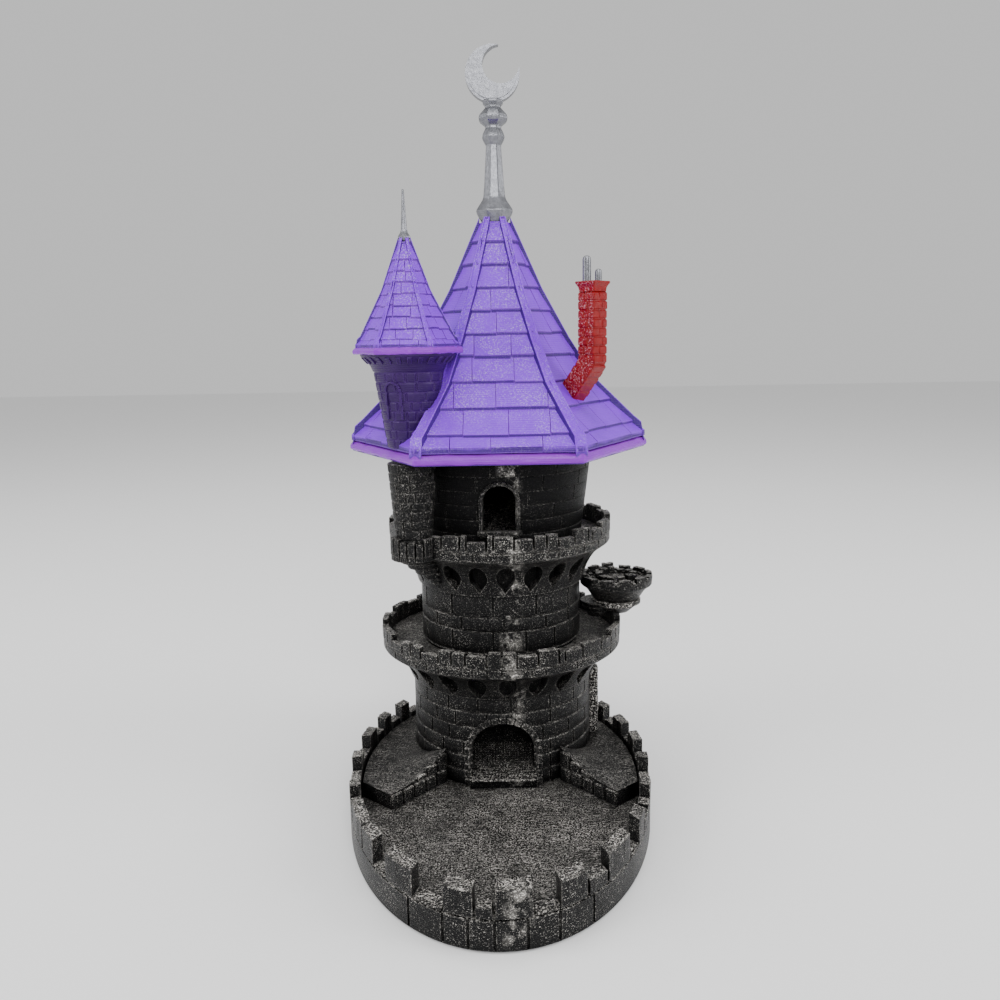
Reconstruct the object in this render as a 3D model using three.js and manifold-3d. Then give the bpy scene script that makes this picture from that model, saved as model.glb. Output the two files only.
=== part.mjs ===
// A castle dice tower, printed in plastic. Dice are dropped in at the top with the roof lifted off,
// tumble over two baffles and a ramp, and roll out of the arched door into the walled tray.
// Millimetres, +Z up. The origin is on the tower's axis at the underside of the tray; -Y is the front.
import * as THREE from "three";
import { mergeVertices } from "three/addons/utils/BufferGeometryUtils.js";
import Module from "manifold-3d";

const wasm = await Module();
wasm.setup();

// Fits
const fitGap = 0.3; // left between two pieces that touch
const spigotDepth = 5; // how far a section reaches down into the one below
const roundSides = 48;
const smallSides = 24;

// Tray: an egg-shaped plan of two half ellipses, longer towards the front
const trayHalfWidth = 60;
const trayCentreX = -1.5;
const trayCentreY = -30.2;
const trayFrontDepth = 98.2;
const backYard = 6; // between the tower and the tray's back wall
const traySideWall = 4.5;
const trayFrontWall = 7;
const trayFloor = 7.4;
const trayWallTop = 12;
const trayMerlonTop = 21.8;
const trayMerlons = 24;
const trayCrenelWidth = 8;
const trayFirstMerlonX = 4.5;

// Lower tower and its arched door
const lowerRadius = 38.3;
const towerWall = 4.8;
const lowerTop = 57.7;
const doorWidth = 28;
const doorSpring = 21;
const doorTop = 36;
const doorLip = 11;
const rampAngle = 30;
const pilasterWidth = 4.2;
const pilasterDepth = 4;
const pilasterTop = 45;

// Terraces that sweep down on both sides of the door
const wingStartAngle = 37; // degrees from the front, where the wing meets the tower
const wingCrest = 22;
const terraceTop = 14;
const wingSpread = 28;
const wingInset = 11.5; // from the tray's side wall to the wing's end
const wingEndY = -54;
const wingBackY = -44;

// Galleries: corbelled walkways with a crenellated parapet
const galleryMerlons = 16;
const crenelShare = 0.43; // of one merlon and one crenel
const parapetWall = 2.8;
const crenelDepth = 6;
const walkway = 3.5; // thickness of the walkway's floor
const lowerCorbelBottom = 46;
const lowerGalleryReach = 13.1; // past the lower tower's wall
const lowerParapetTop = 69.5;
const upperCorbelBottom = 87;
const upperGalleryReach = 13; // past the middle tower's wall
const upperParapetTop = 114.2;

// Middle tower
const middleSetback = 4.3;
const middleTop = 102.3;

// Baffles
const baffleThickness = 3;
const baffleAngle = 35;
const upperBaffleTop = 118;
const lowerBaffleTop = 92;
const diceGap = 25; // free way past each baffle

// Bartizan: a small round turret on the right of the middle tower
const bartizanOut = 16; // from the wall to its axis
const bartizanRadius = 15.8;
const bartizanBottom = 66.5;
const bartizanLedge = 76;
const bartizanTop = 88;
const bartizanRimWall = 2.4;
const bartizanMerlons = 12;

// Lantern room under the roof
const lanternSetback = 0.5; // past the middle tower's wall
const lanternFlare = 4.3;
const lanternTop = 141;
const lanternWall = 4;
const windowWidth = 13.7;
const windowSill = 113;
const windowTop = 132;

// Round black body under the side turret, on a corbel that leans out of the upper gallery
const footTopRadius = 9.5;
const footBottomRadius = 7.5;
const footRingBottom = 104;
const footCorbelBottom = 88;
const footCorbelTip = 1.6;

// Main roof: a six-sided concave spire
const roofSides = 6;
const roofRadius = 62.8;
const roofRim = 3.9;
const roofRise = 87.4;
const roofPeakRadius = 4.7;

// Side turret on the main roof's left slope
const turretAngle = 225.51; // degrees round from the right-hand side
const turretInset = 0.64; // from standing clear outside the lantern room's wall
const turretOut = lowerRadius - middleSetback + lanternSetback + lanternFlare + footTopRadius - turretInset;
const turretX = turretOut * Math.cos(turretAngle * Math.PI / 180);
const turretY = turretOut * Math.sin(turretAngle * Math.PI / 180);
const turretWallTop = 175;
const turretTopRadius = 13.2;
const turretFootRadius = 8.3;
const turretFoot = 143;
const turretEave = 182.7;
const turretEaveRadius = 20.2;
const turretPeak = 222.8;
const turretPeakRadius = 1.4;

// Moon finial and side spike
const finialPeg = 1.8;
const finialPegDepth = 8;
const finialSides = 8;
const finialCollar = 7.5;
const finialShaftTop = 263;
const finialTop = 280;
const moonRadius = 10.7;
const moonCutRadius = 7.2;
const moonCutShift = 4.6;
const moonThickness = 4.4;
const moonTop = 300;
const spikePeg = 0.9;
const spikePegDepth = 5;
const spikeCollar = 2.4;
const spikeTip = 241.5;

// Chimney with a slanted foot, and its two flue pipes
const chimneyX = 36.4;
const chimneyY = -30;
const chimneySide = 8.2;
const chimneyBend = 176;
const chimneyTop = 207.4;
const chimneyCapSide = 9.8;
const chimneyCapHeight = 4;
const chimneyLegRun = 16;
const chimneyLegDrop = 24;
const tallFlueRadius = 1.6;
const tallFlueTop = 217.3;
const shortFlueRadius = 1.3;
const shortFlueTop = 212.4;
const flueDepth = 4;
const flueOffset = 2.2;

// Sizes that follow
const lowerInner = lowerRadius - towerWall;
const middleRadius = lowerRadius - middleSetback;
const middleInner = middleRadius - towerWall - fitGap;
const lanternFoot = middleRadius + lanternSetback;
const lanternInner = lanternFoot - lanternWall;
const lowerWalk = lowerTop + fitGap + walkway;
const upperWalk = middleTop + fitGap + walkway;
const trayBackDepth = lowerRadius + backYard + traySideWall - trayCentreY;
const roofBottom = lanternTop + fitGap;
const roofEdge = roofBottom + roofRim;
const roofPeak = roofEdge + roofRise;
const trayBottomOfPieces = trayFloor + fitGap;
const lowerGallery = {
  wall: lowerRadius, hole: lowerInner, corbelBottom: lowerCorbelBottom, seat: lowerTop,
  reach: lowerGalleryReach, parapetTop: lowerParapetTop,
};
const upperGallery = {
  wall: middleRadius, hole: middleInner, corbelBottom: upperCorbelBottom, seat: middleTop,
  reach: upperGalleryReach, parapetTop: upperParapetTop,
};
const pilasterBottom = terraceTop + 2 * fitGap;

const blackPlastic = new THREE.MeshStandardMaterial({ color: 0x1d1d1f, roughness: 0.45, metalness: 0.1 });
const purplePlastic = new THREE.MeshStandardMaterial({ color: 0x5b2fa8, roughness: 0.35, metalness: 0 });
const redPlastic = new THREE.MeshStandardMaterial({ color: 0xb3121d, roughness: 0.3, metalness: 0 });
const silverPlastic = new THREE.MeshStandardMaterial({ color: 0x8d9094, roughness: 0.35, metalness: 0.6 });

// A closed three.js geometry as a solid that can be joined and cut.
function solidOf(geometry) {
  const bare = geometry.index ? geometry.toNonIndexed() : geometry.clone();
  bare.deleteAttribute("normal");
  bare.deleteAttribute("uv");
  const merged = mergeVertices(bare, 1e-4);
  const corners = merged.index.array;
  const kept = [];
  for (let i = 0; i < corners.length; i += 3) {
    const [a, b, c] = [corners[i], corners[i + 1], corners[i + 2]];
    if (a !== b && b !== c && c !== a) kept.push(a, b, c);
  }
  const vertProperties = merged.attributes.position.array;
  return new wasm.Manifold(new wasm.Mesh({ numProp: 3, vertProperties, triVerts: new Uint32Array(kept) }));
}

function meshOf(name, solid, material) {
  const made = solid.getMesh();
  const geometry = new THREE.BufferGeometry();
  geometry.setAttribute("position", new THREE.BufferAttribute(made.vertProperties, 3));
  geometry.setIndex(new THREE.BufferAttribute(made.triVerts, 1));
  const mesh = new THREE.Mesh(geometry, material.clone());
  mesh.name = name;
  return mesh;
}

// A profile of [radius, height] points, turned about the Z axis, outer side going up.
function turned(profile, sides = roundSides, phase = 0) {
  const closed = profile[0][0] === 0 ? profile : [...profile, profile[0]];
  const points = closed.map(([r, z]) => new THREE.Vector2(r, z));
  return new THREE.LatheGeometry(points, sides, phase).rotateX(Math.PI / 2);
}

const disc = (radius, bottom, top, sides = roundSides) =>
  turned([[0, bottom], [radius, bottom], [radius, top], [0, top]], sides);

const block = (x, y, z, sizeX, sizeY, sizeZ) =>
  new THREE.BoxGeometry(sizeX, sizeY, sizeZ).translate(x, y, z);

const prism = (shape, bottom, top, steps = 24) =>
  new THREE.ExtrudeGeometry(shape, { depth: top - bottom, bevelEnabled: false, curveSegments: steps })
    .translate(0, 0, bottom);

// A curve that starts upright and ends level, as a corbel's outline does.
function corbelCurve(r0, z0, r1, z1, steps = 6) {
  const curve = new THREE.QuadraticBezierCurve(
    new THREE.Vector2(r0, z0),
    new THREE.Vector2(r0 + (r1 - r0) * 0.3, z0 + (z1 - z0) * 0.75),
    new THREE.Vector2(r1, z1),
  );
  return curve.getPoints(steps).map((p) => [p.x, p.y]);
}

// An upright arch outline in X and Z, pushed along Y from front to back.
function archCut(width, bottom, spring, top, front, back) {
  const half = width / 2;
  const shape = new THREE.Shape();
  shape.moveTo(-half, bottom);
  shape.lineTo(half, bottom);
  shape.lineTo(half, spring);
  shape.bezierCurveTo(half, spring + (top - spring) * 0.62, half * 0.5, top, 0, top);
  shape.bezierCurveTo(-half * 0.5, top, -half, spring + (top - spring) * 0.62, -half, spring);
  shape.closePath();
  const depth = back - front;
  return new THREE.ExtrudeGeometry(shape, { depth, bevelEnabled: false, curveSegments: 8 })
    .rotateX(Math.PI / 2)
    .translate(0, back, 0);
}

// The egg-shaped outline, drawn in by an inset at the sides and back and another at the front.
function trayOutline(inset, frontInset) {
  const shape = new THREE.Shape();
  const half = trayHalfWidth - inset;
  shape.absellipse(trayCentreX, trayCentreY, half, trayFrontDepth - frontInset, Math.PI, 2 * Math.PI);
  shape.absellipse(trayCentreX, trayCentreY, half, trayBackDepth - inset, 0, Math.PI);
  return shape;
}

function trayPiece() {
  const outer = trayOutline(0, 0);
  const inner = trayOutline(traySideWall, trayFrontWall);
  const pitch = outer.getLength() / trayMerlons;
  const foremost = outer.curves[0].getLength() / 2;
  const firstCrenel = foremost + trayFirstMerlonX - trayCentreX + pitch / 2;
  let body = solidOf(prism(outer, 0, trayMerlonTop));
  body = body.subtract(solidOf(prism(inner, trayFloor, trayMerlonTop + 1)));
  for (let i = 0; i < trayMerlons; i += 1) {
    const share = ((firstCrenel + i * pitch) / outer.getLength()) % 1;
    const point = outer.getPointAt(share);
    const along = outer.getTangentAt(share);
    const cutHeight = 2 * (trayMerlonTop - trayWallTop);
    const crenel = new THREE.BoxGeometry(trayCrenelWidth, 4 * trayFrontWall, cutHeight)
      .rotateZ(Math.atan2(along.y, along.x))
      .translate(point.x, point.y, trayMerlonTop);
    body = body.subtract(solidOf(crenel));
  }
  return body;
}

// The surface that every ramp or baffle slopes along, as a slab below a tilted plane through (y, z).
function slopedSlab(y, z, angle, thickness) {
  const reach = 4 * lowerRadius;
  return new THREE.BoxGeometry(reach, reach, thickness)
    .translate(0, 0, -thickness / 2)
    .rotateX(THREE.MathUtils.degToRad(angle))
    .translate(0, y, z);
}

function lowerTowerPiece() {
  const wall = turned([
    [lowerInner, trayBottomOfPieces], [lowerRadius, trayBottomOfPieces],
    [lowerRadius, lowerTop], [lowerInner, lowerTop],
  ]);
  const door = archCut(doorWidth, 0, doorSpring, doorTop, -2 * lowerRadius, 0);
  const pilasterHeight = pilasterTop - pilasterBottom;
  const pilaster = block(
    lowerRadius, 0, pilasterBottom + pilasterHeight / 2, 2 * pilasterDepth, pilasterWidth, pilasterHeight,
  );
  return solidOf(wall).subtract(solidOf(door)).add(solidOf(pilaster));
}

// The ramp fills the lower tower below its slope, with a tongue that reaches through the door.
function rampPiece() {
  const lipY = -lowerRadius;
  const core = disc(lowerInner - fitGap, trayBottomOfPieces, lowerTop);
  const tongueWidth = doorWidth - 2 * fitGap;
  const tongue = block(0, lipY / 2, lowerTop / 2 + trayBottomOfPieces, tongueWidth, -lipY, lowerTop);
  const under = slopedSlab(lipY, doorLip, rampAngle, 3 * lowerTop);
  return solidOf(core).add(solidOf(tongue)).intersect(solidOf(under));
}

// A plate inside the shaft, fixed to one wall and ending a dice gap short of the other.
// It slopes down towards the back when side is 1 and towards the front when side is -1.
function bafflePiece(high, side) {
  const radius = middleInner - fitGap;
  const slab = slopedSlab(-side * radius, high, -side * baffleAngle, baffleThickness);
  const rod = disc(radius, trayFloor, lanternTop);
  const end = block(0, side * (2 * middleInner - diceGap), high, 4 * radius, 2 * middleInner, 4 * lanternTop);
  return solidOf(slab).intersect(solidOf(rod)).subtract(solidOf(end));
}

// A terrace beside the door: its top sweeps down from a crest on the tower to a level stone floor.
function terracePiece(side) {
  const clear = lowerRadius + fitGap;
  const start = THREE.MathUtils.degToRad(wingStartAngle);
  const startX = side * clear * Math.sin(start);
  const startY = -clear * Math.cos(start);
  const wingEndX = side * (trayHalfWidth - traySideWall - wingInset);
  const inner = trayOutline(traySideWall + fitGap, trayFrontWall + fitGap);
  const corners = [
    [(side * fitGap) / 2, 0], [startX * 0.8, startY * 0.8], [startX, startY], [wingEndX, wingEndY],
    [side * trayHalfWidth, wingBackY + 4], [2 * side * trayHalfWidth, 3 * lowerRadius],
    [(side * fitGap) / 2, 3 * lowerRadius],
  ];
  if (side < 0) corners.reverse();
  const plan = new THREE.Shape(corners.map(([x, y]) => new THREE.Vector2(x, y)));
  const steps = 8;
  const falling = [];
  for (let i = steps; i >= 0; i -= 1) {
    const share = i / steps;
    falling.push([share * wingSpread, terraceTop + (wingCrest - terraceTop) * (1 - share) ** 2]);
  }
  const far = 4 * trayHalfWidth;
  const top = turned([[0, 0], [far, 0], [far, terraceTop], ...falling], smallSides)
    .translate(startX, startY, 0);
  return solidOf(prism(plan, trayBottomOfPieces, wingCrest + 1))
    .intersect(solidOf(prism(inner, trayBottomOfPieces, wingCrest + 1)))
    .intersect(solidOf(top))
    .subtract(solidOf(disc(clear, 0, lowerTop)));
}

// A gallery's outline: corbels flare out from the wall to a walkway with a parapet.
// Grown by a gap on every side, it cuts what stands on the gallery or against it.
function galleryBody({ wall, hole, corbelBottom, seat, reach, parapetTop }, grown = 0) {
  const outer = wall + reach + grown;
  const inside = outer - parapetWall - 2 * grown;
  const floor = seat + fitGap + walkway + grown;
  const skirt = wall + fitGap - grown;
  const under = seat + fitGap - grown;
  return solidOf(turned([
    [skirt, corbelBottom - grown],
    ...corbelCurve(skirt + 1 + 2 * grown, corbelBottom - grown, outer - 1.6, under),
    [outer, seat + 2], [outer, parapetTop + grown], [inside, parapetTop + grown], [inside, floor],
    [hole, floor], [hole, under], [skirt, under],
  ]));
}

function galleryPiece(gallery) {
  const outer = gallery.wall + gallery.reach;
  const pitch = (2 * Math.PI * outer) / galleryMerlons;
  let body = galleryBody(gallery);
  for (let i = 0; i < galleryMerlons; i += 1) {
    const crenel = new THREE.BoxGeometry(pitch * crenelShare, 4 * parapetWall, 2 * crenelDepth)
      .translate(0, -(outer - parapetWall / 2), gallery.parapetTop)
      .rotateZ(((i + 0.5) * 2 * Math.PI) / galleryMerlons);
    body = body.subtract(solidOf(crenel));
  }
  return body;
}

function middleTowerPiece() {
  const spigot = lowerInner - fitGap;
  return solidOf(turned([
    [middleInner, lowerWalk - spigotDepth], [spigot, lowerWalk - spigotDepth],
    [spigot, lowerWalk + fitGap], [middleRadius, lowerWalk + fitGap],
    [middleRadius, middleTop], [middleInner, middleTop],
  ]));
}

// The bartizan leans out of the middle tower's wall on a tapering stub above a small ledge.
function bartizanPiece() {
  const axis = middleRadius + bartizanOut;
  const neck = bartizanRadius * 0.56;
  const bowl = bartizanTop - 5;
  let body = solidOf(turned([
    [0, bartizanBottom + 3], [neck * 0.7, bartizanBottom + 4], [neck, bartizanLedge - 1.5],
    [neck + 1, bartizanLedge], [neck, bartizanLedge + 0.6],
    ...corbelCurve(neck + 0.4, bartizanLedge + 1, bartizanRadius, bowl),
    [bartizanRadius, bartizanTop], [bartizanRadius - bartizanRimWall, bartizanTop],
    [bartizanRadius - bartizanRimWall, bartizanTop - 2.5], [0, bartizanTop - 2.5],
  ], smallSides).translate(axis, 0, 0));
  const stub = turned([
    [0, bartizanBottom - 2], [2, bartizanBottom - 2], [neck, bartizanLedge], [0, bartizanLedge],
  ], smallSides).translate(axis - bartizanOut / 2, 0, 0);
  body = body.add(solidOf(stub));
  for (let i = 0; i < bartizanMerlons; i += 1) {
    const crenel = new THREE.BoxGeometry(3.4, 4 * bartizanRimWall, 4)
      .translate(0, -bartizanRadius, bartizanTop)
      .rotateZ(((i + 0.5) * 2 * Math.PI) / bartizanMerlons)
      .translate(axis, 0, 0);
    body = body.subtract(solidOf(crenel));
  }
  const tower = disc(middleRadius + fitGap, 0, lanternTop);
  const parapet = disc(lowerRadius + lowerGalleryReach + fitGap, 0, lowerParapetTop + fitGap);
  return body.subtract(solidOf(tower)).subtract(galleryBody(upperGallery, fitGap)).subtract(solidOf(parapet));
}

function lanternPiece() {
  const wall = turned([
    [lanternInner, upperWalk + fitGap], [lanternFoot, upperWalk + fitGap],
    [lanternFoot + lanternFlare, lanternTop], [lanternInner, lanternTop],
  ]);
  const half = windowWidth / 2;
  const window = archCut(windowWidth, windowSill, windowTop - half, windowTop, -2 * lanternFoot, 0);
  return solidOf(wall).subtract(solidOf(window));
}

// The round body under the side turret: it grows out of the gallery on a slanted corbel, passes
// through the parapet and stands against the lantern room up to the roof.
function turretFootPiece() {
  const out = Math.hypot(turretX, turretY);
  const away = Math.atan2(turretY, turretX);
  const run = out - middleRadius - footCorbelTip;
  const rise = footRingBottom - footCorbelBottom;
  const body = turned([
    [0, footRingBottom], [footBottomRadius, footRingBottom],
    [footBottomRadius, upperParapetTop], [footTopRadius, lanternTop], [0, lanternTop],
  ], smallSides).translate(turretX, turretY, 0);
  const length = Math.hypot(run, rise);
  const corbel = new THREE.CylinderGeometry(footBottomRadius, footCorbelTip, length, smallSides)
    .rotateX(Math.PI / 2)
    .translate(0, 0, -length / 2 + 1)
    .rotateY(Math.atan2(run, rise))
    .rotateZ(away)
    .translate(turretX, turretY, footRingBottom);
  const room = turned([
    [0, upperWalk], [lanternFoot + fitGap, upperWalk], [lanternFoot + fitGap, upperWalk + fitGap],
    [lanternFoot + lanternFlare + fitGap, lanternTop], [lanternFoot + lanternFlare + fitGap, roofBottom],
    [0, roofBottom],
  ]);
  return solidOf(body).add(solidOf(corbel))
    .subtract(solidOf(room))
    .subtract(solidOf(disc(middleRadius + fitGap, 0, middleTop)))
    .subtract(galleryBody(upperGallery, fitGap));
}

// The roof's outline, also used raised by a gap to cut what stands on it.
function roofShell(raised) {
  const outline = [[1, 0], [0.874, 0.069], [0.591, 0.254], [0.407, 0.445], [0.222, 0.667], [0.076, 0.884]];
  const slope = outline.map(([share, rise]) => [
    roofPeakRadius + (roofRadius - roofPeakRadius) * share, roofEdge + roofRise * rise + raised,
  ]);
  const flatToFront = Math.PI / roofSides;
  return turned([
    [0, roofBottom], [roofRadius, roofBottom], ...slope,
    [roofPeakRadius, roofPeak + raised], [0, roofPeak + raised],
  ], roofSides, flatToFront);
}

function roofPiece() {
  const spigot = disc(lanternInner - fitGap, lanternTop - spigotDepth, roofBottom + 1);
  const socket = disc(finialPeg + fitGap, roofPeak - finialPegDepth - fitGap, roofPeak + 1, finialSides);
  return solidOf(roofShell(0)).add(solidOf(spigot)).subtract(solidOf(socket));
}

// Anything standing on the roof is cut to its slopes, with a gap.
const onRoof = (solid) => solid.subtract(solidOf(roofShell(2 * fitGap))).subtract(solidOf(roofShell(0)));

function sideTurretPiece() {
  const eave = turretEave - fitGap;
  return onRoof(solidOf(turned([
    [0, turretFoot], [turretFootRadius, turretFoot], [turretTopRadius, turretWallTop],
    [turretTopRadius + 2, turretWallTop + 3.5], [turretEaveRadius - 5, eave], [0, eave],
  ], smallSides).translate(turretX, turretY, 0)));
}

function sideTurretRoofPiece() {
  const rise = turretPeak - turretEave;
  const shell = turned([
    [0, turretEave], [turretEaveRadius, turretEave], [turretEaveRadius, turretEave + 1.6],
    [turretEaveRadius * 0.84, turretEave + rise * 0.11], [turretEaveRadius * 0.42, turretEave + rise * 0.52],
    [turretPeakRadius, turretPeak], [0, turretPeak],
  ], roofSides, Math.PI / roofSides).translate(turretX, turretY, 0);
  const socket = disc(spikePeg + fitGap, turretPeak - spikePegDepth - fitGap, turretPeak + 1, finialSides)
    .translate(turretX, turretY, 0);
  return onRoof(solidOf(shell)).subtract(solidOf(socket));
}

// A turned baluster of eight facets that carries the crescent moon.
function finialPiece() {
  const foot = roofPeak + fitGap;
  const knobs = finialTop - finialShaftTop;
  const post = turned([
    [0, foot - finialPegDepth], [finialPeg, foot - finialPegDepth], [finialPeg, foot],
    [finialCollar * 0.6, foot], [finialCollar, foot + 4], [finialCollar * 0.93, foot + 6],
    [finialCollar * 0.6, foot + 9.5], [3, finialShaftTop],
    [4.7, finialShaftTop + knobs * 0.16], [3.5, finialShaftTop + knobs * 0.36],
    [6.2, finialShaftTop + knobs * 0.57], [3.3, finialShaftTop + knobs * 0.82],
    [4.4, finialShaftTop + knobs * 0.93], [3, finialTop], [0, finialTop],
  ], finialSides, Math.PI / finialSides);
  const centre = moonTop - moonRadius;
  const shift = moonCutShift * Math.SQRT1_2;
  const outer = new THREE.CylinderGeometry(moonRadius, moonRadius, moonThickness, 32)
    .translate(0, 0, centre);
  const cut = new THREE.CylinderGeometry(moonCutRadius, moonCutRadius, moonThickness + 2, 32)
    .translate(shift, 0, centre + shift);
  return solidOf(post).add(solidOf(outer).subtract(solidOf(cut)));
}

function spikePiece() {
  const foot = turretPeak + fitGap;
  return solidOf(turned([
    [0, foot - spikePegDepth], [spikePeg, foot - spikePegDepth], [spikePeg, foot], [spikeCollar * 0.7, foot],
    [spikeCollar, foot + 1.4], [1.3, foot + 3], [0.5, spikeTip], [0, spikeTip],
  ], finialSides).translate(turretX, turretY, 0));
}

// A square brick stack with one corner to the front, on a slanted foot cut to the roof.
function chimneyPiece() {
  const quarter = Math.PI / 4;
  const stack = new THREE.BoxGeometry(chimneySide, chimneySide, chimneyTop - chimneyBend)
    .translate(0, 0, (chimneyTop + chimneyBend) / 2);
  const cap = new THREE.CylinderGeometry(
    chimneyCapSide * Math.SQRT1_2, chimneySide * Math.SQRT1_2, chimneyCapHeight, 4, 1, false, quarter,
  ).rotateX(Math.PI / 2).translate(0, 0, chimneyTop - chimneyCapHeight / 2);
  const length = Math.hypot(chimneyLegRun, chimneyLegDrop);
  const leg = new THREE.BoxGeometry(chimneySide, chimneySide, length)
    .translate(0, 0, -length / 2 + 1)
    .rotateZ(quarter)
    .rotateY(Math.atan2(chimneyLegRun, chimneyLegDrop))
    .rotateZ(Math.atan2(chimneyY, chimneyX) - quarter)
    .translate(0, 0, chimneyBend + 1);
  const upright = [stack, cap, leg].map((geometry) =>
    solidOf(geometry.rotateZ(quarter).translate(chimneyX, chimneyY, 0)));
  let body = upright[0].add(upright[1]).add(upright[2]);
  for (const flue of flues()) {
    const hole = disc(flue.radius + fitGap, chimneyTop - flueDepth - fitGap, chimneyTop + 1, finialSides);
    body = body.subtract(solidOf(hole.translate(flue.x, chimneyY, 0)));
  }
  return onRoof(body);
}

function flues() {
  return [
    { name: "tall_flue_pipe", radius: tallFlueRadius, top: tallFlueTop, x: chimneyX - flueOffset },
    { name: "short_flue_pipe", radius: shortFlueRadius, top: shortFlueTop, x: chimneyX + flueOffset },
  ];
}

function fluePiece(flue) {
  const dome = flue.top - flue.radius * 0.8;
  return solidOf(turned([
    [0, chimneyTop - flueDepth], [flue.radius, chimneyTop - flueDepth], [flue.radius, dome],
    [flue.radius * 0.7, flue.top - flue.radius * 0.25], [0, flue.top],
  ], 12).translate(flue.x, chimneyY, 0));
}

// The assembly, in the order it is put together.
const base = new THREE.Group();
base.add(
  meshOf("base_tray", trayPiece(), blackPlastic),
  meshOf("terrace_left", terracePiece(-1), blackPlastic),
  meshOf("terrace_right", terracePiece(1), blackPlastic),
  meshOf("exit_ramp", rampPiece(), blackPlastic),
  meshOf("lower_tower", lowerTowerPiece(), blackPlastic),
  meshOf("lower_gallery", galleryPiece(lowerGallery), blackPlastic),
);

const upperSection = new THREE.Group();
upperSection.add(
  meshOf("middle_tower", middleTowerPiece(), blackPlastic),
  meshOf("lower_baffle", bafflePiece(lowerBaffleTop, 1), blackPlastic),
  meshOf("bartizan", bartizanPiece(), blackPlastic),
  meshOf("upper_gallery", galleryPiece(upperGallery), blackPlastic),
  meshOf("lantern_room", lanternPiece(), blackPlastic),
  meshOf("upper_baffle", bafflePiece(upperBaffleTop, -1), blackPlastic),
  meshOf("turret_foot", turretFootPiece(), blackPlastic),
);

const roofAssembly = new THREE.Group();
roofAssembly.add(
  meshOf("main_roof", roofPiece(), purplePlastic),
  meshOf("moon_finial", finialPiece(), silverPlastic),
  meshOf("side_turret", sideTurretPiece(), purplePlastic),
  meshOf("side_turret_roof", sideTurretRoofPiece(), purplePlastic),
  meshOf("side_spike", spikePiece(), silverPlastic),
  meshOf("chimney", chimneyPiece(), redPlastic),
  ...flues().map((flue) => meshOf(flue.name, fluePiece(flue), silverPlastic)),
);

const diceTower = new THREE.Group();
diceTower.add(base, upperSection, roofAssembly);
export default diceTower;
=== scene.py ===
import math
import random

import bmesh
import bpy
from mathutils import Matrix, Vector


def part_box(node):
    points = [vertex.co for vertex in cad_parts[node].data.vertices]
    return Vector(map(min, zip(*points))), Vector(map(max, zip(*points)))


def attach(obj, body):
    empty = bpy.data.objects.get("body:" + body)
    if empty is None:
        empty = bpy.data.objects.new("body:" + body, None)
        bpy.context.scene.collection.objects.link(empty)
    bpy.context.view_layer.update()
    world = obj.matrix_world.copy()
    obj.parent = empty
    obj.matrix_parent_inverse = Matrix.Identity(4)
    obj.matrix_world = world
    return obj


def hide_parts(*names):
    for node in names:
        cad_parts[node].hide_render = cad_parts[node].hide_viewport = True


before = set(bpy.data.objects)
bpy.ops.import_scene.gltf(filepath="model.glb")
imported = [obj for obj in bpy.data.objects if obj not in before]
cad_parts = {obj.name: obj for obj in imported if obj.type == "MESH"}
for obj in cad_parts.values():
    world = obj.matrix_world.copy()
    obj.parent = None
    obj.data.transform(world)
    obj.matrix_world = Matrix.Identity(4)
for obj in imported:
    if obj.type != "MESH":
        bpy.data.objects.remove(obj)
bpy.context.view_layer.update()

# Camera and light. The tower is seen from the front, from a little above the eaves, and the
# light is a wide window-like panel in front, a softer one on each side and a bright room.
camera_data = bpy.data.cameras.new("camera")
camera_data.lens = 32.58
camera_data.sensor_width = 36
camera_data.shift_x = 0.002
camera = bpy.data.objects.new("camera", camera_data)
bpy.context.scene.collection.objects.link(camera)
camera.matrix_world = (
    Matrix.Translation((0, -0.379, 0.1874))
    @ Matrix.Rotation(math.radians(0.08), 4, "Z")
    @ Matrix.Rotation(math.radians(90 - 10.15), 4, "X")
    @ Matrix.Rotation(math.radians(-0.95), 4, "Z")
)
bpy.context.scene.camera = camera


def light_panel(name, place, aim, width, height, power):
    lamp = bpy.data.lights.new(name, "AREA")
    lamp.shape = "RECTANGLE"
    lamp.size = width
    lamp.size_y = height
    lamp.energy = power
    panel = bpy.data.objects.new(name, lamp)
    bpy.context.scene.collection.objects.link(panel)
    facing = (Vector(aim) - Vector(place)).to_track_quat("-Z", "Y")
    panel.matrix_world = Matrix.Translation(place) @ facing.to_matrix().to_4x4()


light_panel("window_light", (0.12, -1.1, 0.75), (0, 0, 0.12), 0.5, 0.7, 9)
light_panel("left_light", (-0.9, -0.3, 0.6), (0, 0, 0.15), 0.6, 0.8, 6)
light_panel("right_light", (0.9, -0.2, 0.5), (0, 0, 0.12), 0.4, 0.8, 5)
light_panel("top_light", (0, 0.1, 1.2), (0, 0, 0.1), 0.9, 0.9, 7)
world = bpy.data.worlds.new("room")
bpy.context.scene.world = world
world.use_nodes = True
world.node_tree.nodes["Background"].inputs["Color"].default_value = (1, 1, 1, 1)
world.node_tree.nodes["Background"].inputs["Strength"].default_value = 0.7

# Floor: a wide, plain, pale and matt sheet that the tower stands on.
bpy.ops.object.select_all(action="DESELECT")
bpy.ops.mesh.primitive_plane_add(size=6, location=(0, 0, -0.0002))
floor = bpy.context.object
floor.name = "floor"
floor_paint = bpy.data.materials.new("floor_paint")
floor_paint.use_nodes = True
floor_shader = floor_paint.node_tree.nodes["Principled BSDF"]
floor_shader.inputs["Base Color"].default_value = (0.86, 0.86, 0.86, 1)
floor_shader.inputs["Roughness"].default_value = 0.9
floor.data.materials.append(floor_paint)

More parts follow.
